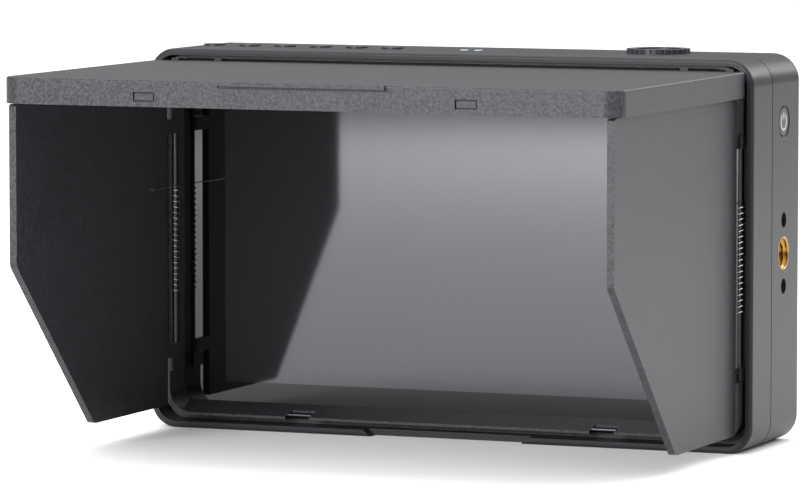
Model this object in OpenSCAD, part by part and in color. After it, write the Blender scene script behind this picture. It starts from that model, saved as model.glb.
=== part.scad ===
// Camera field monitor with a folding sun hood.
// +X runs to the viewer's right, +Y from the screen to the back, +Z up. The origin is the mouth of
// the thread in the bottom. Depths (names ending in _d) are counted back from the front rim plane.

/* [Body] */
// Width of the body
body_w = 193; // [190:1:205]
// Height of the body
body_h = 115.4; // [114:0.2:124]
// Thickness of the body, front rim to back
body_t = 43.2; // [42:0.2:50]
// Corner radius of the body, seen from the front
corner_r = 8; // [7:0.5:9]
// Depth of the parting line between bezel and cover
seam_d = 17.5; // [17:0.1:18.4]
// Width of the groove at the parting line
seam_gap = 0.5; // [0.3:0.1:0.8]
// Rounding of the front outer edge
front_edge_r = 1; // [0.5:0.1:1.5]
// Rounding of the back outer edge
rear_edge_r = 1.5; // [1:0.5:4]
// Wall of bezel and cover behind the screen
wall = 2.5; // [2:0.1:3]
// Wall of the front rim round the hood
rim_wall = 2; // [1.8:0.1:2.2]
// Depth of the axes of both threads and of the power button
mount_d = 28.5; // [27:0.5:30]
// Width of the thumb notch in the lower rim, at its narrow side
notch_w = 46; // [30:1:60]
// How far the thumb notch is set back
notch_d = 4.5; // [3:0.5:6]

/* [Screen] */
// Distance of the lit area's sides from the body's sides; it is a 7 inch panel of 16 by 9
screen_side = 19; // [18.5:0.5:21]
// Distance of the lit area's upper edge below the body's top
screen_drop = 14.9; // [14.5:0.1:18]
// Height of the lit area's lower edge above the bottom
screen_low = 13.3; // [13:0.1:14.5]
// Depth of the glass's front face
glass_d = 13.4; // [13:0.1:14]
// Thickness of the cover glass
glass_t = 1.1; // [0.8:0.1:1.3]
// Height of the glass's visible lower edge above the bottom
glass_low = 7.3; // [7:0.1:7.5]
// Distance of the glass's visible upper edge below the body's top
glass_drop = 7.4; // [7.2:0.1:9]
// How far the glass runs in under the hood frame
glass_tuck = 0.8; // [0.5:0.1:1]
// Border of the display panel round the lit area
panel_border = 2.4; // [1.5:0.1:3]
// Thickness of the display panel
panel_t = 4; // [3.5:0.1:4.5]
// Thickness of the bezel's shelf behind the glass
shelf_t = 1.8; // [1.5:0.1:2]

/* [Hood frame] */
// Depth of the hood frame's front edge
frame_d = 2.2; // [2:0.1:2.6]
// Side wall of the hood frame
frame_wall = 1.6; // [1.5:0.1:1.8]
// Thickness of the frame's front edge above and below
frame_edge = 0.8; // [0.6:0.1:1]
// Depth of the groove that takes the lips of the closed lid
groove_d = 8.3; // [8:0.1:9]
// Corner radius of the frame's opening
opening_r = 7; // [5:0.5:7.5]
// Height of the wide blocks at the upper ends of the flaps' pins
block_h = 9; // [6:0.5:10]
// Gap between the hood frame and what it sits in
seat_gap = 0.1; // [0.05:0.05:0.2]

/* [Hood lid] */
// Depth of the lid's hinge axis
lid_axis_d = 1.5; // [1.3:0.1:1.8]
// Drop of the lid's hinge axis below the body's top
lid_axis_drop = 5.4; // [5.2:0.1:5.6]
// Height of the lid's outer face above its hinge axis
lid_rise = 1.9; // [1.8:0.1:2]
// Thickness of the lid's plate
lid_t = 1.8; // [1.4:0.1:2]
// Height of the lips round the lid
lip_h = 7.6; // [7:0.1:7.8]
// Thickness of the lips
lip_t = 1.1; // [0.9:0.1:1.2]
// Gap between the closed lid and the rim
lid_gap = 0.4; // [0.3:0.1:0.6]
// Gap between a lip and the hood frame inside it
lip_gap = 0.3; // [0.3:0.1:0.5]
// Corner radius of the lid
lid_r = 5.4; // [5:0.1:5.8]
// Distance between the two catches
catch_span = 98; // [70:1:120]
// Width of a hook window in the lid's front lip
window_w = 6.6; // [5:0.2:8]
// Height of a hook window
window_h = 2.7; // [2:0.1:3.2]
// Rounding of the lid's upper edge
lid_edge_r = 0.6; // [0.3:0.1:1]
// Width of the finger tab on the lid's front edge
tab_w = 50; // [30:1:50]
// Thickness of the finger tab
tab_h = 1.2; // [1:0.1:1.4]
// How far the finger tab stands out
tab_out = 1.1; // [0.6:0.1:1.3]
// Distance of a lid knuckle's inner end from the body's side
knuckle_in = 20.5; // [20.5:0.5:26]
// Width of a lid knuckle
knuckle_w = 7; // [6:0.5:7]
// Outer radius of a lid knuckle
knuckle_r = 2.1; // [1.9:0.1:2.2]

/* [Side flaps] */
// Thickness of a flap
flap_t = 2.2; // [1.8:0.1:2.3]
// Distance of a flap's hinge axis from the body's side
flap_axis_in = 5.1; // [5:0.1:5.2]
// Depth of the left flap's hinge axis: this flap folds in first
left_axis_d = 7.3; // [7.2:0.1:7.4]
// Depth of the right flap's hinge axis: this flap folds over the left one
right_axis_d = 4.3; // [4.2:0.1:4.4]
// Gap between an open flap's outer face and the lid's side lip
flap_gap = 0.9; // [0.8:0.1:1.2]
// Distance of a flap's rear edge in front of the rim plane
flap_set = 1.8; // [1.5:0.1:2]
// Height of the left flap's lower edge above the bottom
left_flap_low = 6.9; // [6.5:0.1:7.5]
// Height of the right flap's lower edge above the bottom
right_flap_low = 5.8; // [5.8:0.1:7.5]
// Gap between a flap's upper edge and the lid's lips above it
flap_top_gap = 0.3; // [0.3:0.1:1]
// Gap between a flap's front edge and the lid's front lip
flap_front_gap = 0.5; // [0.4:0.1:1]
// Height at which the slanted edge starts
slant_z = 57.5; // [50:0.5:70]
// Distance of the flap's lower tip in front of the rim plane
tip_d = 53.5; // [45:0.5:60]
// Rounding of a flap's corners
flap_r = 3; // [1.5:0.5:4]
// Length of a flap knuckle along its pin
flap_knuckle_h = 4; // [3.5:0.5:4.5]
// Outer radius of a flap knuckle
flap_knuckle_r = 1.35; // [1.3:0.05:1.35]
// Height of the lower flap knuckle's underside
knuckle_low = 21.2; // [20:0.5:22]
// Distance of the upper flap knuckle's top below the body's top
knuckle_drop = 22; // [21.5:0.5:24]

/* [Pins and springs] */
// Diameter of the hinge pins
pin_dia = 1.7; // [1.4:0.1:1.7]
// Radial clearance of a pin in a knuckle
pin_gap = 0.05; // [0.02:0.01:0.08]
// Diameter of the spring wire
wire_dia = 0.4; // [0.3:0.05:0.4]
// Mean diameter of the springs' curls
curl_dia = 2.4; // [2.3:0.05:2.45]
// Lower end of a flap spring
spring_low = 41; // [36:1:44]
// Pitch of a flap spring
spring_pitch = 1.7; // [1.6:0.05:1.8]
// Curls of a flap spring
spring_curls = 19; // [10:1:20]
// Length of a flap spring's leg on the flap
spring_leg = 12; // [8:0.5:14]
// How far a flap spring's leg starts behind the flap's rear edge
spring_in = 0.6; // [0.4:0.1:1]
// Length of a flap spring's straight end
spring_stub = 1.2; // [1:0.1:1.4]
// Pitch of a lid spring
lid_spring_pitch = 0.9; // [0.85:0.05:0.95]
// Curls of a lid spring
lid_spring_curls = 4; // [3:1:4]
// Length of a lid spring's bend to the lid
lid_spring_bend = 3; // [2.5:0.1:3.5]
// Length of a lid spring's leg under the lid
lid_spring_leg = 5; // [4:0.5:6]
// Length of a lid spring's straight end
lid_spring_stub = 1.6; // [1.2:0.1:2]

/* [Threads and controls] */
// How far the side thread's axis lies below half the body's height
side_thread_drop = 0.7; // [0:0.1:5]
// Inner diameter of the threads, at the thread's crest (3/8-16 UNC)
thread_dia = 8; // [7.8:0.05:8.2]
// Outer diameter of the threaded inserts
insert_dia = 9.9; // [9.5:0.1:11]
// Length of the threaded inserts
insert_l = 10; // [8:0.5:10]
// Thickness of an insert's closed end
insert_end = 1.5; // [1:0.1:2]
// Chamfer at the mouth of the side insert
insert_chamfer = 0.7; // [0.5:0.05:0.75]
// Distance between the two locating holes
locating_span = 19.6; // [19:0.1:25]
// Diameter of the locating holes
locating_dia = 4.6; // [4:0.1:5]
// Depth of the locating holes
locating_l = 6; // [4:0.5:7]
// Distance of the power button's axis below the body's top
button_drop = 19.5; // [18.5:0.1:25]
// Diameter of the power button's cap
button_dia = 8.3; // [7:0.1:9]
// Diameter of the recess round the power button
button_recess = 10.1; // [9.6:0.1:11]
// Travel of the power button
button_travel = 0.8; // [0.5:0.1:1]
// Number of keys on the top side
key_count = 6; // [1:1:6]
// Distance between neighbouring keys
key_pitch = 11.8; // [10:0.1:12]
// Distance of the first key's axis from the body's side
key_in = 11; // [11:0.5:16]
// Diameter of a key
key_dia = 6.6; // [5:0.1:8]
// Depth of the row of keys
key_d = 23.6; // [23.6:0.2:25]
// Height of keys above the top side
key_rise = 0.5; // [0.3:0.1:0.6]
// Travel of a key
key_travel = 0.4; // [0.3:0.1:0.5]
// Distance of the jog dial's axis from the body's side
dial_in = 39.5; // [36.5:0.5:46]
// Depth of the jog dial's axis
dial_d = 28.5; // [28:0.5:30]
// Diameter of the jog dial
dial_dia = 19; // [14:0.5:20]
// Height of the jog dial above the top side
dial_rise = 1.4; // [1:0.1:2]
// Clearance round keys, buttons and dial
play = 0.2; // [0.15:0.05:0.3]

/* [Inside and back] */
// Width of the battery bay
bay_w = 42; // [40:0.5:44]
// Height of the battery bay
bay_h = 72; // [66:1:74]
// Depth of the battery bay
bay_t = 9; // [7:0.5:9]
// Height of the battery bay's lower edge
bay_low = 20; // [18:0.5:22]
// Depth of the main board's front face
board_d = 24; // [23.5:0.1:24.5]
// Thickness of the main board
board_t = 1.6; // [1.2:0.1:1.6]
// Distance of the main board's upper edge below the body's top
board_drop = 13.4; // [13:0.2:20]
// Distance of the main board's right end from the body's side
board_side = 20.5; // [20:0.5:25]
// Height of the main board's lower edge
board_low = 14; // [13:0.5:15]
// Distance of the heat sink from the battery bay's wall
sink_gap = 10; // [8:0.5:12]
// Distance of the heat sink from the board's lower and upper edge
sink_inset = 20; // [16:1:24]
// Thickness of the heat sink's base
sink_base = 2.5; // [2:0.1:3]
// Height of the heat sink's fins
fin_h = 9; // [6:0.5:10]
// Thickness of a fin
fin_t = 1.2; // [0.8:0.1:1.5]
// Distance between fins
fin_pitch = 4; // [3:0.5:6]
// Width of a ventilation slot
vent_w = 2; // [1.5:0.1:2.2]
// Number of ventilation slots
vent_count = 9; // [3:1:9]
// Inset of the cover screws from the body's edge
screw_inset = 9.5; // [9:0.1:10.5]
// Diameter of the cover screws' shank
screw_dia = 2.5; // [2:0.1:3]

/* [Hidden] */
$fn = 48;
fine = 96;
eps = 0.01;

// The two plastics, the board and the metals
shell_color = "#46474b";
hood_color = "#3b3c40";
steel_color = "#b9bbbe";
brass_color = "#b98a3c";

// Sizes of the screen and places that follow the body's size
screen_w = body_w - 2 * screen_side;
screen_h = body_h - screen_low - screen_drop;
glass_h = body_h - glass_low - glass_drop;
knuckle_x = body_w / 2 - knuckle_in;
flap_axis_x = body_w / 2 - flap_axis_in;
knuckle_high = body_h - knuckle_drop;
side_thread_z = body_h / 2 - side_thread_drop;
button_z = body_h - button_drop;
key_x = key_in - body_w / 2;
dial_x = body_w / 2 - dial_in;
board_h = body_h - board_low - board_drop;

// The front rim plane, and depths behind it as places along Y
front_y = -mount_d;
function at(d) = front_y + d;

// Shelf, seam and back of the body
shelf_d = glass_d + glass_t;
shelf_back_d = shelf_d + shelf_t;
cover_d = seam_d + seam_gap / 2;
bezel_back_d = seam_d - seam_gap / 2;
inner_back_d = body_t - wall;

// Hinge axis of the lid, and the lid's reach so that it closes inside the rim
lid_axis_y = at(lid_axis_d);
lid_axis_z = body_h - lid_axis_drop;
lid_top_z = lid_axis_z + lid_rise;
lid_under_z = lid_top_z - lid_t;
lid_low_z = lid_top_z - lip_h;
lid_half = body_w / 2 - rim_wall - lid_gap;
lid_reach = lid_axis_z - rim_wall - lid_gap;
lid_front_y = lid_axis_y - lid_reach;
lid_rear_y = lid_axis_y - knuckle_r - 0.3;
ear_w = 2.4;
lid_spring_l = lid_spring_curls * lid_spring_pitch + wire_dia + 2 * play;
lid_pin_in = knuckle_x - ear_w - play;
lid_pin_out = knuckle_x + knuckle_w + lid_spring_l + ear_w;

// Hood frame: its front ring stands inside the lid's lips, its back ring fills the rim
frame_half = lid_half - lip_t - lip_gap;
frame_low = rim_wall + lid_gap + lip_t + lip_gap;
frame_high = body_h - rim_wall - seat_gap;
ring_half = body_w / 2 - rim_wall - seat_gap;
opening_half = frame_half - frame_wall;
opening_low = frame_low + frame_edge;
opening_high = frame_high - frame_edge;
glass_high = glass_low + glass_h;
roof_d = 5;

// Flaps: outer face, edges, and the reach from the hinge axis
flap_out = lid_half - lip_t - flap_gap;
flap_mid = flap_out - flap_t / 2;
flap_top = lid_low_z - flap_top_gap;
flap_in = flap_out - flap_t;
flap_front_y = lid_front_y + lip_t + flap_front_gap;
slot_end = 0.3;

// The lid's snap noses pass the catches, which lie across the pockets of the frame
latch_z = lid_top_z - lip_h * 0.63;
catch_w = 7.8;
catch_r = 0.8;
catch_d = lid_axis_d + lid_axis_z - lid_low_z - 2.3;
pocket_d = catch_d + 2.9;

// Board, sockets and bay
board_x0 = -body_w / 2 + wall + 1.6;
board_x1 = body_w / 2 - board_side;
board_back_d = board_d + board_t;
bay_floor_d = body_t - bay_t;
bay_wall = 2;
sink_x0 = bay_w / 2 + bay_wall + sink_gap;
sink_x1 = board_x1 - 1;
sink_low = board_low + sink_inset;
sink_h = board_h - 2 * sink_inset;

// Plan shapes

// A w by h rectangle with round corners, its lower edge on the X axis
module round_rect(w, h, r) {
    translate([-w / 2 + r, 0])
        square([w - 2 * r, h]);
    translate([-w / 2, r])
        square([w, h - 2 * r]);
    for (x = [-w / 2 + r, w / 2 - r], y = [r, h - r])
        translate([x, y])
            circle(r, $fn = fine);
}

// Turns a plan drawn in X and Z into a body that runs back from depth d0 to depth d1
module deep(d0, d1) {
    translate([0, at(d1), 0])
        rotate([90, 0, 0])
            linear_extrude(d1 - d0)
                children();
}

// A profile drawn as (depth, height) and run along X from x0 to x1
module across(x0, x1) {
    translate([x0, front_y, 0])
        rotate([90, 0, 90])
            linear_extrude(x1 - x0)
                children();
}

// A round bar along X, centred on depth d and height z
module bar_x(r, x0, x1, d, z) {
    translate([x0, at(d), z])
        rotate([0, 90, 0])
            cylinder(r = r, h = x1 - x0);
}

// The section of a slab that is w wide and t thick, with its two far edges rounded by e
module slab_section(w, t, e) {
    translate([-w / 2, 0])
        square([w, t - e]);
    translate([-w / 2 + e, 0])
        square([w - 2 * e, t]);
    for (x = [-w / 2 + e, w / 2 - e])
        translate([x, t - e])
            circle(e);
}

// A slab of the body's outline, t thick along +Y, with its far edges rounded by e
module slab(t, e) {
    w = body_w;
    h = body_h;
    r = corner_r;
    translate([0, 0, r])
        linear_extrude(h - 2 * r)
            slab_section(w, t, e);
    translate([-w / 2 + r, 0, h / 2])
        rotate([0, 90, 0])
            linear_extrude(w - 2 * r)
                slab_section(h, t, e);
    for (x = [-w / 2 + r, w / 2 - r], z = [r, h - r])
        translate([x, 0, z])
            rotate([-90, 0, 0])
                rotate_extrude($fn = fine)
                    intersection() {
                        slab_section(2 * r, t, e);
                        square([r, t]);
                    }
}

module mirror_copy() {
    children();
    mirror([1, 0, 0])
        children();
}

// Body

module screw_places() {
    for (x = [-1, 1], z = [screw_inset, body_h - screw_inset])
        translate([x * (body_w / 2 - screw_inset), 0, z])
            children();
}

module front_bezel() {
    color(shell_color)
        difference() {
            union() {
                difference() {
                    translate([0, at(bezel_back_d), 0])
                        mirror([0, 1, 0])
                            slab(bezel_back_d, front_edge_r);
                    // the well that takes the hood frame
                    deep(-1, shelf_d)
                        translate([0, rim_wall])
                            round_rect(body_w - 2 * rim_wall, body_h - 2 * rim_wall, corner_r - rim_wall);
                    // the hollow behind the shelf
                    deep(shelf_back_d, bezel_back_d + 1)
                        translate([0, wall])
                            round_rect(body_w - 2 * wall, body_h - 2 * wall, corner_r - wall);
                    // the window for the display panel
                    deep(shelf_d - 1, shelf_back_d + 1)
                        translate([-screen_w / 2 - panel_border - play, screen_low - panel_border - play])
                            square([screen_w + 2 * (panel_border + play), screen_h + 2 * (panel_border + play)]);
                    thumb_notch();
                }
                screw_places()
                    deep(shelf_back_d - eps, boss_d())
                        circle(screw_boss_r());
            }
            // blind holes for the cover screws
            screw_places()
                deep(shelf_back_d - 1, boss_d() + 1)
                    circle(d = screw_dia);
        }
}

function boss_d() = seam_d + 3;
function screw_boss_r() = screw_dia / 2 + 1.8;

// The lower rim is set back between slanted ends, for a thumb
module thumb_notch() {
    deep(-1, notch_d)
        polygon([
            [-notch_w / 2, -1],
            [notch_w / 2, -1],
            [notch_w / 2 + 4, rim_wall + 0.5],
            [-notch_w / 2 - 4, rim_wall + 0.5]
        ]);
}

// Holes of one mount: the insert's seat and the two locating holes, along +Z from the outer face
module mount_holes(along) {
    translate([0, 0, -insert_l])
        cylinder(d = insert_dia, h = insert_l + 1, $fn = fine);
    for (s = [-1, 1])
        translate(along * s * locating_span / 2)
            translate([0, 0, -locating_l])
                cylinder(d = locating_dia, h = locating_l + 1, $fn = fine);
}

// A block behind the outer face that carries the insert and the locating holes
module mount_block(along) {
    l = locating_span + locating_dia + 5;
    b = insert_dia + 5;
    size = along[0] == 0 ? [b, l] : [l, b];
    translate([-size[0] / 2, -size[1] / 2, -insert_l - 1.5])
        cube([size[0], size[1], insert_l + 1.5 - wall + eps]);
}

// Frames of the two mounts: +Z leaves the body
module at_side_mount() {
    translate([body_w / 2, 0, side_thread_z])
        rotate([0, 90, 0])
            children();
}

module at_bottom_mount() {
    rotate([180, 0, 0])
        children();
}

module rear_cover() {
    color(shell_color)
        difference() {
            union() {
                cover_shell();
                cover_tongue();
                bay_walls();
                at_side_mount()
                    mount_block([1, 0, 0]);
                at_bottom_mount()
                    mount_block([1, 0, 0]);
                screw_places()
                    deep(boss_d(), inner_back_d + eps)
                        circle(screw_boss_r());
                board_posts();
                dial_boss();
            }
            at_side_mount()
                mount_holes([1, 0, 0]);
            at_bottom_mount()
                mount_holes([1, 0, 0]);
            screw_places() {
                deep(seam_d, body_t + 1)
                    circle(d = screw_dia + 2 * pin_gap);
                deep(body_t - 1.8, body_t + 1)
                    circle(d = screw_dia * 2 + 0.4);
            }
            button_hole();
            key_holes();
            dial_hole();
            light_holes();
            socket_holes();
            vents();
            bay_cut();
        }
}

module cover_shell() {
    difference() {
        translate([0, at(cover_d), 0])
            slab(body_t - cover_d, rear_edge_r);
        deep(cover_d - 1, inner_back_d)
            translate([0, wall])
                round_rect(body_w - 2 * wall, body_h - 2 * wall, corner_r - wall);
    }
}

// The cover's tongue reaches into the bezel and stands on its shelf
module cover_tongue() {
    t = 1.2;
    inset = wall + seat_gap;
    deep(shelf_back_d, cover_d + 1.6)
        difference() {
            translate([0, inset])
                round_rect(body_w - 2 * inset, body_h - 2 * inset, corner_r - inset);
            translate([0, inset + t])
                round_rect(body_w - 2 * (inset + t), body_h - 2 * (inset + t), corner_r - inset - t);
        }
    // a web joins the tongue to the wall behind the seam
    deep(cover_d, cover_d + 1.6)
        difference() {
            translate([0, wall - eps])
                round_rect(body_w - 2 * (wall - eps), body_h - 2 * (wall - eps), corner_r - wall);
            translate([0, inset + t / 2])
                round_rect(body_w - 2 * inset - t, body_h - 2 * inset - t, corner_r - inset - t / 2);
        }
}

module bay_walls() {
    b = bay_wall;
    translate([-bay_w / 2 - b, at(bay_floor_d - b), bay_low - b])
        cube([bay_w + 2 * b, bay_t + b - wall + eps, bay_h + 2 * b]);
}

module bay_cut() {
    translate([-bay_w / 2, at(bay_floor_d), bay_low])
        cube([bay_w, bay_t + 1, bay_h]);
}

// Posts that carry the main board from the back
module board_posts() {
    for (x = [board_x0 + 16, board_x1 - 6], z = [board_low + 5, board_low + board_h - 5])
        translate([x, 0, z])
            deep(board_back_d, inner_back_d + eps)
                circle(2.5);
}

module vents() {
    pitch = (sink_x1 - sink_x0 - 6) / vent_count;
    for (i = [0:vent_count - 1])
        translate([sink_x0 + 3 + (i + 0.5) * pitch - vent_w / 2, at(inner_back_d - 1), sink_low + 2])
            cube([vent_w, wall + 2, sink_h - 4]);
}

module cover_screws() {
    color(steel_color)
        screw_places() {
            deep(shelf_back_d, body_t - 1.8)
                circle(d = screw_dia);
            difference() {
                deep(body_t - 1.8, body_t - 0.3)
                    circle(d = screw_dia * 2);
                deep(body_t - 1.1, body_t)
                    circle(d = screw_dia * 0.8, $fn = 6);
            }
        }
}

// Screen

module cover_glass() {
    color("#16171a")
        deep(glass_d, shelf_d)
            translate([0, glass_low - glass_tuck])
                round_rect(2 * (opening_half + glass_tuck), glass_h + 2 * glass_tuck, opening_r / 2);
}

module display_panel() {
    b = panel_border;
    color("#0d0e10")
        translate([-screen_w / 2 - b, at(shelf_d), screen_low - b])
            cube([screen_w + 2 * b, panel_t, screen_h + 2 * b]);
}

module main_board() {
    color("#1f4d34")
        translate([board_x0, at(board_d), board_low])
            cube([board_x1 - board_x0, board_t, board_h]);
}

// A finned block on the board, behind the ventilation slots
module heat_sink() {
    color("#9a9da1") {
        translate([sink_x0, at(board_back_d), sink_low])
            cube([sink_x1 - sink_x0, sink_base, sink_h]);
        for (x = [sink_x0 : fin_pitch : sink_x1 - fin_t])
            translate([x, at(board_back_d + sink_base - eps), sink_low])
                cube([fin_t, fin_h, sink_h]);
    }
}

// Hood frame

// Depth and height of the opening: floor and roof slope in from the front edge to the glass
module opening_section() {
    polygon([
        [frame_d - 3, opening_low],
        [frame_d, opening_low],
        [glass_d, glass_low],
        [shelf_d + 1, glass_low],
        [shelf_d + 1, glass_high],
        [glass_d, glass_high],
        [roof_d, opening_high],
        [frame_d - 3, opening_high]
    ]);
}

module opening() {
    intersection() {
        across(-opening_half, opening_half)
            opening_section();
        deep(frame_d - 2, shelf_d + 1)
            translate([0, opening_low])
                round_rect(2 * opening_half, opening_high - opening_low, opening_r);
    }
}

module hood_frame() {
    color(hood_color)
        difference() {
            union() {
                frame_ring();
                lid_ears();
                flap_blocks(-1, left_axis_d);
                flap_blocks(1, right_axis_d);
            }
            flap_pin_bar(-1, left_axis_d);
            flap_pin_bar(1, right_axis_d);
        }
}

module frame_ring() {
    difference() {
        union() {
            deep(frame_d, groove_d + eps)
                translate([0, frame_low])
                    round_rect(2 * frame_half, frame_high - frame_low, opening_r);
            deep(groove_d, shelf_d)
                translate([0, rim_wall + seat_gap])
                    round_rect(2 * ring_half, frame_high - rim_wall - seat_gap, corner_r - rim_wall - seat_gap);
        }
        opening();
        // the glass's seat
        deep(glass_d - seat_gap, shelf_d + 1)
            translate([0, glass_low - glass_tuck - seat_gap])
                round_rect(2 * (opening_half + glass_tuck + seat_gap), glass_h + 2 * (glass_tuck + seat_gap),
                    opening_r / 2);
        flap_slot(-1, left_axis_d);
        flap_slot(1, right_axis_d);
        lid_hinge_room();
        catch_pockets();
    }
}

// The side wall is cut away over the flap's pin, spring and knuckles
module flap_slot(side, d) {
    z0 = knuckle_low - slot_end;
    z1 = knuckle_high + slot_end;
    out = flap_axis_x + flap_knuckle_r + slot_end;
    x0 = side < 0 ? -out : opening_half - 2;
    translate([x0, at(frame_d - 1), z0])
        cube([out - opening_half + 2, flap_room_d(d) - frame_d + 1, z1 - z0]);
}

// Depth of the room that a folding flap's arms need
function flap_room_d(d) = d + flap_axis_x - flap_in + 0.4;

// Blocks above and below the slot hold the pin's two ends
module flap_blocks(side, d) {
    x0 = flap_axis_x - flap_knuckle_r + 0.1;
    for (zh = [[knuckle_low - slot_end - flap_knuckle_h, flap_knuckle_h], [knuckle_high + slot_end, block_h]])
        translate([side < 0 ? -frame_half : x0, at(frame_d), zh[0]])
            cube([frame_half - x0, flap_room_d(d) - frame_d, zh[1]]);
}

module flap_pin_bar(side, d) {
    translate([side * flap_axis_x, at(d), flap_pin_z0()])
        cylinder(d = pin_dia, h = flap_pin_z1() - flap_pin_z0());
}

function flap_pin_z0() = knuckle_low - slot_end - flap_knuckle_h;
function flap_pin_z1() = knuckle_high + slot_end + flap_knuckle_h;

module lid_ear(x) {
    r = knuckle_r - 0.3;
    difference() {
        union() {
            bar_x(r, x, x + ear_w, lid_axis_d, lid_axis_z);
            translate([x, lid_axis_y, lid_axis_z - r])
                cube([ear_w, roof_d + 2.4 - lid_axis_d, opening_high - lid_axis_z + r + eps]);
        }
        bar_x(pin_dia / 2, x - 1, x + ear_w + 1, lid_axis_d, lid_axis_z);
    }
}

module lid_ears() {
    mirror_copy() {
        lid_ear(lid_pin_in);
        lid_ear(lid_pin_out - ear_w);
    }
}

// The frame's top edge is open over the lid's knuckles and springs
module lid_hinge_room() {
    mirror_copy()
        translate([lid_pin_in - 2, at(frame_d - 1), lid_axis_z - knuckle_r - 1])
            cube([lid_pin_out - lid_pin_in + 2, 3.4, body_h - lid_axis_z]);
}

module catch_pockets() {
    mirror_copy()
        translate([catch_span / 2 - catch_w / 2, at(frame_d - 1), frame_low - 1])
            cube([catch_w, pocket_d - frame_d + 1, 4]);
}

// Each catch is a round bar between the side walls of its pocket
module hood_catches() {
    color("#6d6e72")
        mirror_copy()
            bar_x(catch_r, catch_span / 2 - catch_w / 2, catch_span / 2 + catch_w / 2, catch_d,
                frame_low + catch_r + 0.2);
}

// Hood lid

module lid_plan(inset) {
    w = 2 * (lid_half - inset);
    r = lid_r - inset;
    y0 = lid_front_y + inset;
    translate([-w / 2, y0 + r])
        square([w, lid_rear_y - y0 - r]);
    translate([-w / 2 + r, y0])
        square([w - 2 * r, r + eps]);
    for (x = [-w / 2 + r, w / 2 - r])
        translate([x, y0 + r])
            circle(r, $fn = fine);
}

// The lid's full block with its rounded upper edge
module lid_block() {
    r = lid_r;
    e = lid_edge_r;
    l = lid_rear_y - lid_front_y;
    translate([0, lid_rear_y, lid_low_z])
        rotate([90, 0, 0])
            linear_extrude(l - r)
                slab_section(2 * lid_half, lip_h, e);
    translate([-lid_half + r, lid_rear_y, lid_low_z])
        rotate([90, 0, 90])
            linear_extrude(2 * (lid_half - r)) {
                translate([-l, 0])
                    square([l, lip_h - e]);
                translate([-l + e, 0])
                    square([l - e, lip_h]);
                translate([-l + e, lip_h - e])
                    circle(e);
            }
    for (x = [-lid_half + r, lid_half - r])
        translate([x, lid_front_y + r, lid_low_z])
            rotate_extrude($fn = fine)
                intersection() {
                    slab_section(2 * r, lip_h, e);
                    square([r, lip_h]);
                }
}

// The hollow under the plate, between the lips and open at the rear
module lid_hollow() {
    translate([0, 0, lid_low_z - 1])
        linear_extrude(lid_under_z - lid_low_z + 1) {
            lid_plan(lip_t);
            translate([-lid_half + lip_t, lid_front_y + lid_r])
                square([2 * (lid_half - lip_t), lid_reach]);
        }
}

module hood_lid() {
    color(hood_color)
        difference() {
            union() {
                difference() {
                    lid_block();
                    lid_hollow();
                }
                mirror_copy() {
                    lid_knuckle();
                    snap_nose();
                }
                // the finger tab
                translate([-tab_w / 2, lid_front_y - tab_out, lid_top_z - tab_h])
                    cube([tab_w, tab_out + lid_edge_r + 1, tab_h]);
            }
            mirror_copy() {
                bar_x(pin_dia / 2 + pin_gap, knuckle_x - 1, knuckle_x + knuckle_w + 1, lid_axis_d, lid_axis_z);
                lid_window();
            }
            // the finger groove under the tab
            translate([-tab_w / 2 - 1.2, lid_front_y - 1, lid_top_z - tab_h - 0.7])
                cube([tab_w + 2.4, 1.6, 0.7]);
        }
}

module lid_knuckle() {
    bar_x(knuckle_r, knuckle_x, knuckle_x + knuckle_w, lid_axis_d, lid_axis_z);
    translate([knuckle_x, lid_rear_y - 1, lid_under_z])
        cube([knuckle_w, lid_axis_y - lid_rear_y + 1, lid_t]);
}

// A nose at the lower end of the front lip, which snaps behind the catch when the lid is closed
module snap_nose() {
    translate([catch_span / 2 - catch_w / 2 + 0.4, lid_front_y + lip_t - eps, lid_low_z + 0.1])
        cube([catch_w - 0.8, 1.1, 1]);
}

module lid_window() {
    translate([catch_span / 2 - window_w / 2, lid_front_y - 1, latch_z - window_h / 2])
        cube([window_w, lip_t + 2, window_h]);
}

// Each latch plate lies behind the front lip, and its face shows in the window
module lid_latches() {
    g = 0.4;
    h = window_h + 0.6;
    color(hood_color)
        mirror_copy() {
            translate([catch_span / 2 - window_w / 2 - 0.5, lid_front_y + lip_t, latch_z - h / 2])
                cube([window_w + 1, 0.35, h]);
            translate([catch_span / 2 - window_w / 2 + g, lid_front_y + 0.2, latch_z - window_h / 2 + g])
                cube([window_w - 2 * g, lip_t, window_h - 2 * g]);
        }
}

module lid_pins() {
    color(steel_color)
        mirror_copy()
            bar_x(pin_dia / 2, lid_pin_in, lid_pin_out, lid_axis_d, lid_axis_z);
}

// Side flaps

// Points of a round corner of radius r at b, between the directions to a and c
function unit(v) = v / norm(v);
function round_corner(a, b, c, r) =
    let (u = unit(a - b), v = unit(c - b), half = acos(u * v) / 2)
    let (p = b + u * r / tan(half), q = b + v * r / tan(half), m = b + unit(u + v) * r / sin(half))
    [for (i = [0:10]) m + r * unit(p + (q - p) * i / 10 - m)];

// The flap's outline as (distance in front of the rim plane, height)
module flap_outline(low) {
    front = front_y - flap_front_y;
    low_rear = [flap_set, low];
    tip = [tip_d, low];
    corner = [front, slant_z];
    top_front = [front, flap_top];
    top_rear = [flap_set, flap_top];
    polygon(concat(
        [low_rear],
        round_corner(low_rear, tip, corner, flap_r),
        round_corner(tip, corner, top_front, flap_r),
        round_corner(corner, top_front, top_rear, 1),
        [top_rear]
    ));
}

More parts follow.
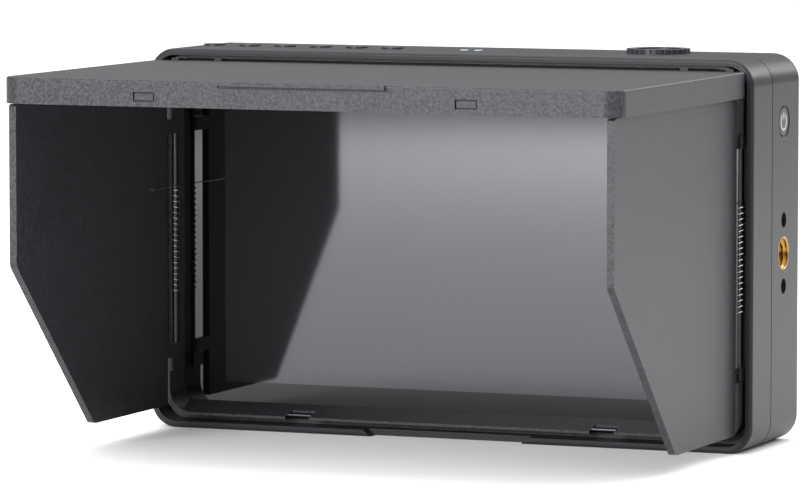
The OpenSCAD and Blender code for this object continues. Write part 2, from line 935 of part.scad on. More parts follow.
// A flap for the right side, with its hinge axis at depth d and its lower edge at height low
module flap(d, low) {
    difference() {
        union() {
            translate([flap_out, front_y, 0])
                rotate([90, 0, -90])
                    linear_extrude(flap_t)
                        flap_outline(low);
            for (z = [knuckle_low, knuckle_high - flap_knuckle_h])
                flap_knuckle(d, z);
        }
        translate([flap_axis_x, at(d), knuckle_low - 1])
            cylinder(r = pin_dia / 2 + pin_gap, h = knuckle_high - knuckle_low + 2);
    }
}

module flap_knuckle(d, z) {
    translate([flap_axis_x, at(d), z])
        cylinder(r = flap_knuckle_r, h = flap_knuckle_h);
    translate([flap_in, at(-flap_set) - 1, z])
        cube([flap_axis_x - flap_in + 0.2, d + flap_set + 1, flap_knuckle_h]);
}

module left_flap() {
    color(hood_color)
        mirror([1, 0, 0])
            flap(left_axis_d, left_flap_low);
}

module right_flap() {
    color(hood_color)
        flap(right_axis_d, right_flap_low);
}

module flap_pin(side, d) {
    color(steel_color)
        flap_pin_bar(side, d);
}

module left_flap_pin() {
    flap_pin(-1, left_axis_d);
}

module right_flap_pin() {
    flap_pin(1, right_axis_d);
}

// Springs

// Points of a coil along +Z of radius r. Its first end comes in along +Y, and lies side further out
// than the coil over the length arm; its last end leaves along +Y.
function coil_points(r, pitch, curls, bend, arm, side, end) = concat(
    [[r + side, -bend - arm, 0], [r + side, -bend - arm / 2, 0], [r + side, -bend, 0], [r, 0, 0]],
    [for (i = [1:8 * curls - 1]) [r * cos(45 * i), r * sin(45 * i), pitch * i / 8]],
    [[r, 0, pitch * curls], [r, end / 2, pitch * curls], [r, end, pitch * curls]]
);

// A tube of six sides swept along points, closed at both ends
module wire(points) {
    n = len(points);
    function ahead(i) = unit(points[min(i + 1, n - 1)] - points[max(i - 1, 0)]);
    function side(i) = unit(cross(ahead(i), [0.001, 0.002, 1]));
    function ring(i) = [for (k = [0:5])
        points[i] + wire_dia / 2 * (cos(60 * k) * side(i) + sin(60 * k) * cross(ahead(i), side(i)))];
    polyhedron(
        points = [for (i = [0:n - 1]) each ring(i)],
        faces = concat(
            [[5, 4, 3, 2, 1, 0]],
            [for (i = [0:n - 2], k = [0:5]) each [
                [6 * i + k, 6 * i + (k + 1) % 6, 6 * i + 6 + k],
                [6 * i + (k + 1) % 6, 6 * i + 6 + (k + 1) % 6, 6 * i + 6 + k]]],
            [[for (k = [0:5]) 6 * (n - 1) + k]]
        )
    );
}

// Least gap between any two stretches of the wire that aren't neighbours
function self_gap(points) = min([for (i = [0:len(points) - 1], j = [i + 6 : len(points) - 1])
    if (j < len(points)) norm(points[i] - points[j])]) - wire_dia;

// A flap spring's long end lies on the flap's inner face, a lid spring's under the plate
function flap_coil(d) = coil_points(curl_dia / 2, spring_pitch, spring_curls, d + flap_set - spring_in,
    spring_leg, flap_axis_x - flap_in + wire_dia / 2 - curl_dia / 2, spring_stub);
lid_coil = coil_points(curl_dia / 2, lid_spring_pitch, lid_spring_curls, lid_spring_bend, lid_spring_leg,
    wire_dia / 2 - curl_dia / 2 - (lid_under_z - lid_axis_z) + pin_gap, lid_spring_stub);
echo(flap_spring_gap = self_gap(flap_coil(right_axis_d)), lid_spring_gap = self_gap(lid_coil));

module flap_spring(d) {
    color(steel_color)
        translate([flap_axis_x, at(d), spring_low + spring_pitch * spring_curls])
            rotate([0, 180, 0])
                wire(flap_coil(d));
}

module left_flap_spring() {
    mirror([1, 0, 0])
        flap_spring(left_axis_d);
}

module right_flap_spring() {
    flap_spring(right_axis_d);
}

module lid_springs() {
    color(steel_color)
        mirror_copy()
            translate([knuckle_x + knuckle_w + play + wire_dia / 2, lid_axis_y, lid_axis_z])
                rotate([0, 90, 0])
                    wire(lid_coil);
}

// Threads and controls

module insert_body() {
    translate([0, 0, -insert_l])
        difference() {
            cylinder(d = insert_dia, h = insert_l, $fn = fine);
            translate([0, 0, insert_end])
                cylinder(d = thread_dia, h = insert_l, $fn = fine);
        }
}

module side_thread_insert() {
    c = insert_chamfer;
    color(brass_color)
        at_side_mount()
            difference() {
                insert_body();
                translate([0, 0, -c])
                    cylinder(d1 = thread_dia, d2 = thread_dia + 2 * (c + eps), h = c + eps, $fn = fine);
            }
}

module bottom_thread_insert() {
    color(brass_color)
        at_bottom_mount()
            insert_body();
}

module at_button() {
    translate([body_w / 2, 0, button_z])
        rotate([0, 90, 0])
            children();
}

module button_hole() {
    at_button() {
        translate([0, 0, -wall - 1])
            cylinder(d = button_dia + 2 * play, h = wall + 2, $fn = fine);
        translate([0, 0, -0.9])
            cylinder(d1 = button_dia + 2 * play, d2 = button_recess, h = 0.9 + eps, $fn = fine);
    }
}

module power_button() {
    color("#3d3e42")
        at_button() {
            translate([0, 0, -wall - 1.5])
                cylinder(d = button_dia, h = wall + 1.3, $fn = fine);
            translate([0, 0, -wall - 1.5])
                cylinder(d = button_dia + 2, h = 1.3, $fn = fine);
        }
}

module at_key(i) {
    translate([key_x + i * key_pitch, at(key_d), body_h])
        children();
}

module key_holes() {
    for (i = [0:key_count - 1])
        at_key(i)
            translate([0, 0, -wall - 1])
                cylinder(d = key_dia + 2 * play, h = wall + 2);
}

dish_r = 14;
dish = 0.4;
flange_w = 0.65;
flange_t = 1;

// A key has a dished top and a flange that keeps it in
module key(i) {
    color("#333438")
        if (i < key_count)
            at_key(i)
                difference() {
                    union() {
                        translate([0, 0, -wall - play - flange_t])
                            cylinder(d = key_dia, h = wall + play + flange_t + key_rise);
                        translate([0, 0, -wall - play - flange_t])
                            cylinder(d = key_dia + 2 * flange_w, h = flange_t);
                    }
                    translate([0, 0, key_rise + dish_r - dish])
                        sphere(dish_r, $fn = fine);
                }
}

module key_1() { key(0); }
module key_2() { key(1); }
module key_3() { key(2); }
module key_4() { key(3); }
module key_5() { key(4); }
module key_6() { key(5); }

module dial_hole() {
    translate([dial_x, at(dial_d), body_h]) {
        translate([0, 0, -1.2])
            cylinder(d = dial_dia + 2 * play, h = 3, $fn = fine);
        translate([0, 0, -wall - 4])
            cylinder(d = 4 + 2 * pin_gap, h = wall + 5);
    }
}

module dial_boss() {
    translate([dial_x, at(dial_d), body_h - wall - 3])
        cylinder(d = 9, h = 3 + eps);
}

// A knurled disc on a short shaft
module jog_dial() {
    color("#333438")
        translate([dial_x, at(dial_d), body_h]) {
            translate([0, 0, -1])
                difference() {
                    cylinder(d = dial_dia, h = dial_rise + 1, $fn = fine);
                    for (a = [0:12:359])
                        rotate(a)
                            translate([dial_dia / 2, 0, 1.2])
                                cylinder(r = 0.4, h = dial_rise + 1, $fn = 16);
                    translate([0, 0, dial_rise + 0.6])
                        cylinder(d = dial_dia * 0.7, h = 1, $fn = fine);
                }
            translate([0, 0, -wall - 4])
                cylinder(d = 4, h = wall + 3.5);
            translate([0, 0, -wall - 4])
                cylinder(d = 6, h = 0.8);
        }
}

module light_places() {
    for (x = [-3.2, 1.4])
        translate([x, at(key_d), body_h])
            children();
}

module light_holes() {
    light_places()
        translate([0, 0, -wall - 1])
            cylinder(d = 2.6, h = wall + 2);
}

module status_lights() {
    color("#d8dadd")
        light_places()
            translate([0, 0, -wall])
                cylinder(d = 2.6, h = wall + 0.1);
}

// Sockets stand on the board and show in the left side

function socket_x() = -body_w / 2 + 0.2;

// A metal shell of size w by h with a hollow behind its mouth, its middle at height z
module metal_socket(w, t, l, z) {
    color("#8d9094")
        difference() {
            translate([socket_x(), at(board_back_d), z - w / 2])
                cube([l, t, w]);
            translate([socket_x() - 1, at(board_back_d) + 0.5, z - w / 2 + 0.5])
                cube([l - 0.5, t - 1, w - 1]);
            }
}

video_w = 15;
video_t = 5.5;
usb_w = 9.4;
usb_t = 3.6;
round_w = 9;
socket_l = 12;
tongue_t = 0.8;

// The sockets share out the board's height
function socket_z(share) = board_low + share * board_h;
video_in_z = socket_z(0.84);
video_out_z = socket_z(0.61);
usb_z = socket_z(0.42);
phones_z = socket_z(0.27);
power_z = socket_z(0.115);

module video_socket(z) {
    metal_socket(video_w, video_t, socket_l, z);
    color("#222326")
        translate([socket_x() + 3, at(board_back_d) + (video_t - tongue_t) / 2, z - video_w / 2 + 2])
            cube([socket_l - 3, tongue_t, video_w - 4]);
}

module video_in() { video_socket(video_in_z); }
module video_out() { video_socket(video_out_z); }

module usb_socket() {
    metal_socket(usb_w, usb_t, socket_l - 3, usb_z);
}

module round_socket(z, bore, pin) {
    color("#1e1f22") {
        difference() {
            translate([socket_x(), at(board_back_d), z - round_w / 2])
                cube([socket_l, round_w - 1, round_w]);
            translate([socket_x() - 1, at(board_back_d) + (round_w - 1) / 2, z])
                rotate([0, 90, 0])
                    cylinder(d = bore, h = socket_l - 1);
        }
        if (pin > 0)
            translate([socket_x() + 1, at(board_back_d) + (round_w - 1) / 2, z])
                rotate([0, 90, 0])
                    cylinder(d = pin, h = socket_l - 2);
    }
}

module phones_socket() { round_socket(phones_z, 3.6, 0); }
module power_socket() { round_socket(power_z, 6, 2); }

module socket_hole(w, t, z) {
    translate([-body_w / 2 - 1, at(board_back_d) - 0.3, z - w / 2 - 0.3])
        cube([wall + 2, t + 0.6, w + 0.6]);
}

module socket_holes() {
    socket_hole(video_w, video_t, video_in_z);
    socket_hole(video_w, video_t, video_out_z);
    socket_hole(usb_w, usb_t, usb_z);
    socket_hole(round_w, round_w - 1, phones_z);
    socket_hole(round_w, round_w - 1, power_z);
}

// Battery bay

rail_w = 3.2;
hook_t = 1.6;
hook_rise = 4.2;
hook_l = 14;
plate_t = 3;
plate_gap = 0.3;
contact_pitch = 5;
contact_w = 2;
contact_h = 5;

// The plate stands on the bay's floor, with two hooked rails for the battery
module battery_plate() {
    color("#2a2b2e")
        difference() {
            union() {
                translate([-bay_w / 2 + plate_gap, at(bay_floor_d), bay_low + plate_gap])
                    cube([bay_w - 2 * plate_gap, plate_t, bay_h - 2 * plate_gap]);
                mirror_copy()
                    for (z = [bay_low + 6, bay_low + bay_h - 32])
                        battery_hook(z);
            }
            // the contacts' seat
            translate([-1.6 * contact_pitch, at(bay_floor_d) + 1, bay_low + bay_h - 22])
                cube([3.2 * contact_pitch, plate_t, contact_h + 4]);
            release_cut();
        }
}

module battery_hook(z) {
    x1 = bay_w / 2 - plate_gap;
    y0 = at(bay_floor_d) + plate_t;
    translate([x1 - hook_t, y0 - eps, z])
        cube([hook_t, hook_rise, hook_l]);
    translate([x1 - rail_w, y0 + hook_rise - hook_t, z])
        cube([rail_w, hook_t, hook_l]);
}

module battery_contacts() {
    color("#c9a14a")
        for (i = [-1:1])
            translate([i * contact_pitch - contact_w / 2, at(bay_floor_d) + 1, bay_low + bay_h - 20])
                cube([contact_w, plate_t - 0.4, contact_h]);
}

release_w = 10;
release_h = 6;
release_travel = 4;

module release_cut() {
    translate([-release_w / 2 - play, at(bay_floor_d) + 0.8, bay_low + 4])
        cube([release_w + 2 * play, plate_t, release_h + release_travel + 2 * play]);
}

// The release slides down to free the battery
module battery_release() {
    color("#9c2f2a") {
        translate([-release_w / 2, at(bay_floor_d) + 0.8 + 0.1, bay_low + 4 + release_travel + play])
            cube([release_w, plate_t - 0.9, release_h]);
        translate([-release_w / 2 + 2, at(bay_floor_d) + plate_t - eps, bay_low + 5 + release_travel + play])
            cube([release_w - 4, 1.5, release_h - 2]);
    }
}

front_bezel();
rear_cover();
cover_screws();
cover_glass();
display_panel();
main_board();
heat_sink();
hood_frame();
hood_catches();
hood_lid();
lid_latches();
lid_pins();
lid_springs();
left_flap();
right_flap();
left_flap_pin();
right_flap_pin();
left_flap_spring();
right_flap_spring();
side_thread_insert();
bottom_thread_insert();
power_button();
key_1();
key_2();
key_3();
key_4();
key_5();
key_6();
jog_dial();
status_lights();
video_in();
video_out();
usb_socket();
phones_socket();
power_socket();
battery_plate();
battery_contacts();
battery_release();
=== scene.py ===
import math

import bmesh
import bpy
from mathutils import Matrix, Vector


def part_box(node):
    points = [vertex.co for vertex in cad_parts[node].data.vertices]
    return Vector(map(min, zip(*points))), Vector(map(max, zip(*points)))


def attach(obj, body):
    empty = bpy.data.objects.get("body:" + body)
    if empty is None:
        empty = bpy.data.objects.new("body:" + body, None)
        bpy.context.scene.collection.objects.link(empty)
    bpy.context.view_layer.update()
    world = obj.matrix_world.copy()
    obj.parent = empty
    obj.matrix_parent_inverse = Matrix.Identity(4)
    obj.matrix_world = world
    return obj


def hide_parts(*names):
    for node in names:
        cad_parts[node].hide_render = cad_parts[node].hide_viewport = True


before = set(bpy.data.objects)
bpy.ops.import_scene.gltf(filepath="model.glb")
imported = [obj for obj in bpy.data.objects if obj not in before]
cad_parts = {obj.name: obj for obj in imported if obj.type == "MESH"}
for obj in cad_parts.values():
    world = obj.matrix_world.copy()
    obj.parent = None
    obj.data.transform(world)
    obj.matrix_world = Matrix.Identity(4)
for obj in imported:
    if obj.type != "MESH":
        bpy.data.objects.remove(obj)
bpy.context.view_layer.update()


# Camera: a long lens a good arm's length away, turned 22 degrees to the monitor's right and a
# little above its middle, as in the photograph.

AZIMUTH = math.radians(22.42)
ELEVATION = math.radians(4.87)
LOOK_AT = Vector((-0.01438, -0.0285, 0.0561))
CAMERA_DISTANCE = 1.6413

to_camera = Vector((
    math.sin(AZIMUTH) * math.cos(ELEVATION),
    -math.cos(AZIMUTH) * math.cos(ELEVATION),
    math.sin(ELEVATION),
))
camera_data = bpy.data.cameras.new("camera")
camera_data.lens = 247.5
camera_data.sensor_width = 36
camera = bpy.data.objects.new("camera", camera_data)
camera.location = LOOK_AT + to_camera * CAMERA_DISTANCE
camera.rotation_euler = (-to_camera).to_track_quat("-Z", "Y").to_euler()
bpy.context.scene.collection.objects.link(camera)
bpy.context.scene.camera = camera


# Studio: a dim room with a bright ceiling, so that flat faces catch a soft box and the rounded
# corners between them stay dark. A low box in front lights the paper that the glass mirrors.

world = bpy.data.worlds.new("bright_ceiling")
bpy.context.scene.world = world
bpy.context.scene.view_settings.view_transform = "Standard"
world.use_nodes = True
sky = world.node_tree
direction = sky.nodes.new("ShaderNodeTexCoord")
height = sky.nodes.new("ShaderNodeSeparateXYZ")
sky.links.new(direction.outputs["Generated"], height.inputs[0])
glow = sky.nodes.new("ShaderNodeMapRange")
glow.interpolation_type = "SMOOTHSTEP"
glow.inputs["From Min"].default_value = 0.15
glow.inputs["From Max"].default_value = 0.75
glow.inputs["To Min"].default_value = 0.25
glow.inputs["To Max"].default_value = 1.7
sky.links.new(height.outputs["Z"], glow.inputs["Value"])
sky.links.new(glow.outputs["Result"], sky.nodes["Background"].inputs["Strength"])
sky.nodes["Background"].inputs["Color"].default_value = (1, 1, 1, 1)


def soft_box(name, place, aim, width, height, watts):
    """A rectangular area light that faces aim."""
    light = bpy.data.lights.new(name, "AREA")
    light.shape = "RECTANGLE"
    light.size = width
    light.size_y = height
    light.energy = watts
    box = bpy.data.objects.new(name, light)
    box.location = place
    box.rotation_euler = (Vector(aim) - Vector(place)).to_track_quat("-Z", "Y").to_euler()
    box.visible_camera = False
    bpy.context.scene.collection.objects.link(box)
    return box


soft_box("front_box", (-0.26, -1.4, 0.5), (0, 0, 0.06), 0.7, 0.7, 25)
soft_box("back_right_box", (0.5, 0.75, 0.5), (0.1, 0, 0.1), 0.5, 0.4, 4)
soft_box("top_box", (0.0, -0.1, 1.1), (0, -0.05, 0.05), 0.9, 0.6, 6)


# Floor: a plain pale sheet of paper under the monitor.

def linear(hex_colour):
    """An sRGB hex colour as a linear colour with alpha 1."""
    parts = [int(hex_colour[i : i + 2], 16) / 255 for i in (1, 3, 5)]
    return tuple(c / 12.92 if c <= 0.04045 else ((c + 0.055) / 1.055) ** 2.4 for c in parts) + (1,)


def add_node(tree, kind, sockets=None, **settings):
    """A new node with its settings; a socket takes a value, or a link from another node's socket."""
    node = tree.nodes.new(kind)
    for name, value in settings.items():
        setattr(node, name, value)
    for name, value in (sockets or {}).items():
        if isinstance(value, bpy.types.NodeSocket):
            tree.links.new(value, node.inputs[name])
        else:
            node.inputs[name].default_value = value
    return node


def new_material(name):
    """An empty node material: its tree, its shader and its object coordinates in metres."""
    material = bpy.data.materials.new(name)
    material.use_nodes = True
    tree = material.node_tree
    shader = tree.nodes["Principled BSDF"]
    place = add_node(tree, "ShaderNodeTexCoord").outputs["Object"]
    return material, tree, shader, place


def mesh_piece(name, verts, faces, material):
    """A mesh object in the scene, with one material."""
    mesh = bpy.data.meshes.new(name)
    mesh.from_pydata([tuple(v) for v in verts], [], faces)
    mesh.materials.append(material)
    piece = bpy.data.objects.new(name, mesh)
    bpy.context.scene.collection.objects.link(piece)
    return piece


paper, tree, shader, place = new_material("white_paper")
paper_tone = add_node(tree, "ShaderNodeTexNoise", {"Vector": place, "Scale": 3.0, "Detail": 2.0})
paper_mix = add_node(tree, "ShaderNodeMix", {"Factor": paper_tone.outputs["Fac"]}, data_type="RGBA")
paper_mix.inputs["A"].default_value = linear("#f4f4f4")
paper_mix.inputs["B"].default_value = linear("#fafafa")
tree.links.new(paper_mix.outputs["Result"], shader.inputs["Base Color"])
shader.inputs["Roughness"].default_value = 0.9

FLOOR_HALF = 6.0
floor = mesh_piece(
    "paper_floor",
    [
        (-FLOOR_HALF, -FLOOR_HALF, 0),
        (FLOOR_HALF, -FLOOR_HALF, 0),
        (FLOOR_HALF, FLOOR_HALF, 0),
        (-FLOOR_HALF, FLOOR_HALF, 0),
    ],
    [(0, 1, 2, 3)],
    paper,
)


# Body: the bezel and the rear cover, injection moulded in charcoal ABS. The mould is finely
# eroded, so the surface is satin, with a grain that is only just seen.

MM = 0.001
ABS_IOR = 1.52


def dress(node_name, material, edge=0.0):
    """Gives a solid its material, and takes the sharpness off its edges by so many metres."""
    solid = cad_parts[node_name]
    solid.data.materials.clear()
    solid.data.materials.append(material)
    for face in solid.data.polygons:
        face.use_smooth = True
    if edge:
        bevel = solid.modifiers.new("broken_edges", "BEVEL")
        bevel.width = edge
        bevel.segments = 2
        bevel.limit_method = "ANGLE"
        bevel.angle_limit = math.radians(40)
        bevel.harden_normals = False
    smooth = solid.modifiers.new("weighted_normals", "WEIGHTED_NORMAL")
    smooth.keep_sharp = True
    solid.data.set_sharp_from_angle(angle=math.radians(32))
    return solid


def moulded_plastic(name, dark, light, grain_mm, depth_mm, roughness, gloss=0.36):
    """Moulded ABS: an eroded grain of a given size, with a slow change of tone over it."""
    material, tree, shader, place = new_material(name)
    grain = add_node(tree, "ShaderNodeTexNoise",
                     {"Vector": place, "Scale": 1 / (2 * grain_mm * MM), "Detail": 3.0, "Roughness": 0.6})
    drift = add_node(tree, "ShaderNodeTexNoise", {"Vector": place, "Scale": 1 / (40 * MM), "Detail": 2.0})
    slow = add_node(tree, "ShaderNodeMapRange",
                    {"Value": drift.outputs["Fac"], "To Min": 0.47, "To Max": 0.53})
    amount = add_node(tree, "ShaderNodeMath",
                      {0: grain.outputs["Fac"], 1: slow.outputs["Result"]}, operation="MULTIPLY")
    spread = add_node(tree, "ShaderNodeMapRange",
                      {"Value": amount.outputs[0], "From Min": 0.15, "From Max": 0.35})
    tone = add_node(tree, "ShaderNodeMix", {"Factor": spread.outputs["Result"]}, data_type="RGBA")
    tone.inputs["A"].default_value = linear(dark)
    tone.inputs["B"].default_value = linear(light)
    tree.links.new(tone.outputs["Result"], shader.inputs["Base Color"])
    rough = add_node(tree, "ShaderNodeMapRange",
                     {"Value": grain.outputs["Fac"], "From Min": 0.3, "From Max": 0.7,
                      "To Min": roughness - 0.06, "To Max": roughness + 0.06})
    tree.links.new(rough.outputs["Result"], shader.inputs["Roughness"])
    bump = add_node(tree, "ShaderNodeBump",
                    {"Height": grain.outputs["Fac"], "Strength": 1.0, "Distance": depth_mm * MM})
    tree.links.new(bump.outputs["Normal"], shader.inputs["Normal"])
    shader.inputs["IOR"].default_value = ABS_IOR
    shader.inputs["Specular IOR Level"].default_value = gloss
    return material


satin_abs = moulded_plastic("satin_charcoal_abs", "#1c1d20", "#28292c", 0.25, 0.012, 0.38, 0.2)
dress("front_bezel", satin_abs, 0.15 * MM)
dress("rear_cover", satin_abs, 0.15 * MM)


# Hood: frame, lid, latches and flaps, moulded in the same ABS with a coarser spark-eroded grain
# against glare. The real grain is about 0.2 mm; it is drawn at 0.4 mm so that it shows. Its tone runs
# from near black to mid grey: the light specks are painted glints, standing for the sparkle of the grain.

# The light end of this grain's tone is painted glint.
spark_abs_painted_glints = moulded_plastic("spark_eroded_abs_painted_glints", "#0f0f11", "#3a3b3f", 0.4, 0.07, 0.42, 0.28)
for node_name, edge in (("hood_frame", 0.1), ("hood_lid", 0.15), ("left_flap", 0.2), ("right_flap", 0.2)):
    dress(node_name, spark_abs_painted_glints, edge * MM)
dress("lid_latches", spark_abs_painted_glints)


# Screen: a sheet of hardened glass over the panel. A black print runs round its border, and the
# lit area behind it mirrors more than the glass does, with a grey sheen of its own.

SCREEN_W, SCREEN_H, SCREEN_LOW = 155 * MM, 87.2 * MM, 13.3 * MM
GLASS_IOR = 1.52
LIT_AREA_MIRROR = 0.9

dark_glass, tree, shader, place = new_material("hardened_glass")
split = add_node(tree, "ShaderNodeSeparateXYZ", {"Vector": place})
from_middle = add_node(tree, "ShaderNodeMath", {0: split.outputs["X"]}, operation="ABSOLUTE")
inside_x = add_node(tree, "ShaderNodeMath",
                    {0: from_middle.outputs[0], 1: SCREEN_W / 2}, operation="LESS_THAN")
above = add_node(tree, "ShaderNodeMath",
                 {0: split.outputs["Z"], 1: SCREEN_LOW}, operation="GREATER_THAN")
below = add_node(tree, "ShaderNodeMath",
                 {0: split.outputs["Z"], 1: SCREEN_LOW + SCREEN_H}, operation="LESS_THAN")
inside_z = add_node(tree, "ShaderNodeMath",
                    {0: above.outputs[0], 1: below.outputs[0]}, operation="MULTIPLY")
lit_area = add_node(tree, "ShaderNodeMath",
                    {0: inside_x.outputs[0], 1: inside_z.outputs[0]}, operation="MULTIPLY")
screen_tone = add_node(tree, "ShaderNodeMix", {"Factor": lit_area.outputs[0]}, data_type="RGBA")
screen_tone.inputs["A"].default_value = linear("#08080a")
screen_tone.inputs["B"].default_value = linear("#4f5053")
tree.links.new(screen_tone.outputs["Result"], shader.inputs["Base Color"])
screen_rough = add_node(tree, "ShaderNodeMapRange",
                        {"Value": lit_area.outputs[0], "To Min": 0.03, "To Max": 0.06})
tree.links.new(screen_rough.outputs["Result"], shader.inputs["Roughness"])
screen_metal = add_node(tree, "ShaderNodeMath",
                        {0: lit_area.outputs[0], 1: LIT_AREA_MIRROR}, operation="MULTIPLY")
tree.links.new(screen_metal.outputs[0], shader.inputs["Metallic"])
shader.inputs["IOR"].default_value = GLASS_IOR
dress("cover_glass", dark_glass)

panel_black, tree, shader, place = new_material("panel_black_steel")
wave = add_node(tree, "ShaderNodeTexNoise", {"Vector": place, "Scale": 1 / (8 * MM)})
panel_tone = add_node(tree, "ShaderNodeMix", {"Factor": wave.outputs["Fac"]}, data_type="RGBA")
panel_tone.inputs["A"].default_value = linear("#101114")
panel_tone.inputs["B"].default_value = linear("#1b1c20")
tree.links.new(panel_tone.outputs["Result"], shader.inputs["Base Color"])
shader.inputs["Roughness"].default_value = 0.35
dress("display_panel", panel_black)


# Pins, springs, catches and screws: drawn steel, the springs brighter than the pins. The pins, catches
# and screws get a dark steel as painted shade, since the hinge pins sit in deep shadow in the hood.
# Fine lines from the drawing die run along it, which soften its mirror.

def drawn_metal(name, dark, light, line_mm, roughness):
    """Bare metal with fine lines from its tool, and a roughness that changes with them."""
    material, tree, shader, place = new_material(name)
    lines = add_node(tree, "ShaderNodeTexNoise",
                     {"Vector": place, "Scale": 1 / (line_mm * MM), "Detail": 2.0})
    tone = add_node(tree, "ShaderNodeMix", {"Factor": lines.outputs["Fac"]}, data_type="RGBA")
    tone.inputs["A"].default_value = linear(dark)
    tone.inputs["B"].default_value = linear(light)
    tree.links.new(tone.outputs["Result"], shader.inputs["Base Color"])
    rough = add_node(tree, "ShaderNodeMapRange",
                     {"Value": lines.outputs["Fac"], "To Min": roughness - 0.08, "To Max": roughness + 0.08})
    tree.links.new(rough.outputs["Result"], shader.inputs["Roughness"])
    shader.inputs["Metallic"].default_value = 1.0
    return material


# The dark tone of this steel is painted shade.
pin_steel_painted_shade = drawn_metal("steel_painted_shade", "#2e2f32", "#47484b", 0.3, 0.34)
spring_steel = drawn_metal("spring_steel", "#c2c3c6", "#e2e3e6", 0.2, 0.2)
for node_name in ("lid_pins", "left_flap_pin", "right_flap_pin", "hood_catches", "cover_screws"):
    dress(node_name, pin_steel_painted_shade)
for node_name in ("lid_springs", "left_flap_spring", "right_flap_spring"):
    dress(node_name, spring_steel)


# Threaded inserts: turned from brass bar, seated in the cover. The side one shows, so its 3/8-16
# thread is cut here: rings of points round the bore, whose radius follows the helix.

turned_brass = drawn_metal("turned_brass", "#7d5a26", "#b98f4c", 0.25, 0.26)
dress("bottom_thread_insert", turned_brass)

THREAD_PITCH, CREST_R, ROOT_R = 1.5875 * MM, 4.0 * MM, 4.76 * MM
MOUTH_R, END_WALL = 4.7 * MM, 1.5 * MM
AROUND, ROWS_PER_TURN = 64, 8

insert_low, insert_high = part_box("side_thread_insert")
insert_r = (insert_high.z - insert_low.z) / 2
insert_z = (insert_high.z + insert_low.z) / 2
insert_y = (insert_high.y + insert_low.y) / 2


def thread_radius(depth, turn):
    """Radius of the cut thread at a depth in the bore, for a part of a turn from 0 to 1."""
    phase = (depth / THREAD_PITCH - turn) % 1
    cut = CREST_R + (ROOT_R - CREST_R) * (1 - abs(2 * phase - 1))
    return max(cut, MOUTH_R - depth)


bore_depth = insert_high.x - insert_low.x - END_WALL
rows = math.ceil(bore_depth / THREAD_PITCH * ROWS_PER_TURN)
rings = [(insert_low.x, [insert_r] * AROUND), (insert_high.x, [insert_r] * AROUND)]
for row in range(rows + 1):
    depth = bore_depth * row / rows
    rings.append((insert_high.x - depth, [thread_radius(depth, step / AROUND) for step in range(AROUND)]))
verts, faces = [], []
for x, radii in rings:
    for step, radius in enumerate(radii):
        turn = math.tau * step / AROUND
        verts.append((x, insert_y + radius * math.cos(turn), insert_z + radius * math.sin(turn)))
for ring in range(len(rings) - 1):
    for step in range(AROUND):
        here, beside = ring * AROUND + step, ring * AROUND + (step + 1) % AROUND
        faces.append((here, beside, beside + AROUND, here + AROUND))
faces.append(tuple(range(AROUND)))
faces.append(tuple(range(len(verts) - AROUND, len(verts)))[::-1])
side_thread = mesh_piece("side_thread", verts, faces, turned_brass)
solid = bmesh.new()
solid.from_mesh(side_thread.data)
bmesh.ops.recalc_face_normals(solid, faces=solid.faces)
solid.to_mesh(side_thread.data)
solid.free()
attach(side_thread, "monitor")
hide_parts("side_thread_insert")


# Keys, power button and dial: darker satin ABS, each in its own hole of the cover.

key_abs = moulded_plastic("dark_satin_abs", "#25262a", "#2d2e32", 0.2, 0.006, 0.36)
dress("power_button", key_abs, 0.25 * MM)
for number in range(1, 7):
    dress(f"key_{number}", key_abs, 0.2 * MM)
dress("jog_dial", key_abs, 0.15 * MM)


# Power symbol: an open ring and a bar, pad-printed in white on the button. Each stroke is a flat
# ribbon along its line, a hair above the button's face.

button_low, button_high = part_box("power_button")
SYMBOL_R, SYMBOL_LINE, PRINT_LIFT = 2.4 * MM, 0.45 * MM, 0.02 * MM
SYMBOL_GAP = 34  # degrees from the top to each end of the ring
BAR_LOW, BAR_HIGH = 0.25, 1.15  # ends of the bar, as parts of the ring's radius


def ribbon(points, width):
    """Vertices and faces of a flat line of a given width through points (y, z), on x = 0."""
    verts, faces = [], []
    for index, (y, z) in enumerate(points):
        before = Vector(points[max(index - 1, 0)])
        after = Vector(points[min(index + 1, len(points) - 1)])
        along = (after - before).normalized()
        for side in (-0.5, 0.5):
            verts.append((0.0, y - along.y * width * side, z + along.x * width * side))
        if index:
            n = 2 * index
            faces.append((n - 2, n - 1, n + 1, n))
    return verts, faces


white_print, tree, shader, place = new_material("white_pad_print")
speck = add_node(tree, "ShaderNodeTexNoise", {"Vector": place, "Scale": 1 / (0.2 * MM)})
print_tone = add_node(tree, "ShaderNodeMix", {"Factor": speck.outputs["Fac"]}, data_type="RGBA")
print_tone.inputs["A"].default_value = linear("#b9babc")
print_tone.inputs["B"].default_value = linear("#d4d5d7")
tree.links.new(print_tone.outputs["Result"], shader.inputs["Base Color"])
shader.inputs["Roughness"].default_value = 0.5

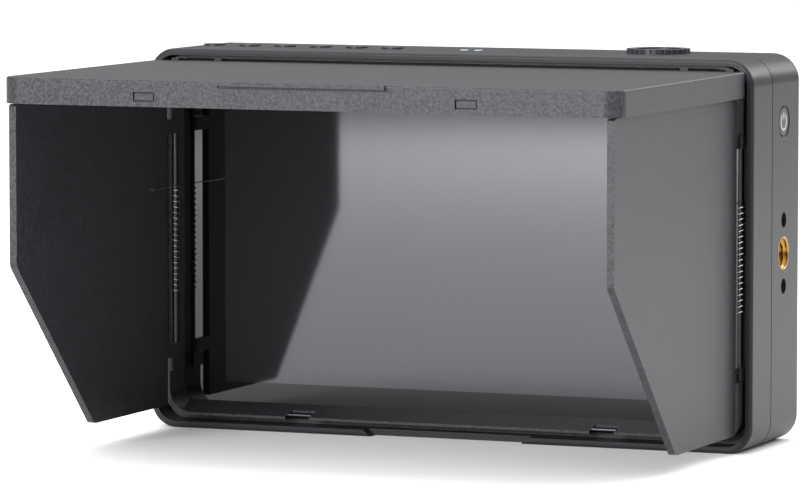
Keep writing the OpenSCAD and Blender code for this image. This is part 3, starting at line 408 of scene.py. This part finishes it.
arc = [math.radians(90 + SYMBOL_GAP + (360 - 2 * SYMBOL_GAP) * step / 36) for step in range(37)]
strokes = (
    [(SYMBOL_R * math.cos(turn), SYMBOL_R * math.sin(turn)) for turn in arc],
    [(0.0, SYMBOL_R * BAR_LOW), (0.0, SYMBOL_R * BAR_HIGH)],
)
face_x = button_high.x + PRINT_LIFT
middle = (button_low + button_high) / 2
for number, stroke in enumerate(strokes):
    verts, faces = ribbon(stroke, SYMBOL_LINE)
    placed = [(face_x, y + middle.y, z + middle.z) for x, y, z in verts]
    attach(mesh_piece(f"power_symbol_{number + 1}", placed, faces, white_print), "power_button")


# Status lights: two small pipes of frosted plastic in the top. Their near-white colour is painted highlight,
# standing for two glints on the top.

pipe_painted_highlight, tree, shader, place = new_material("light_pipe_painted_highlight")
cloud = add_node(tree, "ShaderNodeTexNoise", {"Vector": place, "Scale": 1 / (0.5 * MM)})
pipe_highlight_tone = add_node(tree, "ShaderNodeMix", {"Factor": cloud.outputs["Fac"]}, data_type="RGBA")
# Near white: painted highlight.
pipe_highlight_tone.inputs["A"].default_value = linear("#c9cbce")
pipe_highlight_tone.inputs["B"].default_value = linear("#e4e6e8")
tree.links.new(pipe_highlight_tone.outputs["Result"], shader.inputs["Base Color"])
shader.inputs["Roughness"].default_value = 0.3
shader.inputs["Subsurface Weight"].default_value = 0.2
dress("status_lights", pipe_painted_highlight)


# Board and heat sink: glass-fibre board under green solder mask, and an extruded aluminium sink
# on it behind the vents.

solder_mask = moulded_plastic("green_solder_mask", "#153a28", "#1e5a3b", 1.2, 0.02, 0.34)
dress("main_board", solder_mask)
anodised = drawn_metal("anodised_aluminium", "#85888c", "#a6a9ad", 0.4, 0.4)
dress("heat_sink", anodised, 0.1 * MM)


# Sockets: tinned steel shells for video and USB, and black moulded bodies for headphones and power.

tinned_steel = drawn_metal("tinned_steel", "#7f8286", "#a3a5a9", 0.5, 0.3)
for node_name in ("video_in", "video_out", "usb_socket"):
    dress(node_name, tinned_steel, 0.1 * MM)
socket_nylon = moulded_plastic("black_nylon", "#141416", "#1d1d20", 0.3, 0.01, 0.45)
for node_name in ("phones_socket", "power_socket"):
    dress(node_name, socket_nylon, 0.1 * MM)


# Battery plate: black glass-filled nylon with two hooked rails, gold-plated contacts and a red
# release that slides down.

dress("battery_plate", socket_nylon, 0.2 * MM)
gold_plate = drawn_metal("gold_plate", "#c79a3c", "#e6c273", 0.3, 0.22)
dress("battery_contacts", gold_plate)
red_abs = moulded_plastic("red_abs", "#7d1712", "#93201a", 0.3, 0.01, 0.38)
dress("battery_release", red_abs, 0.2 * MM)
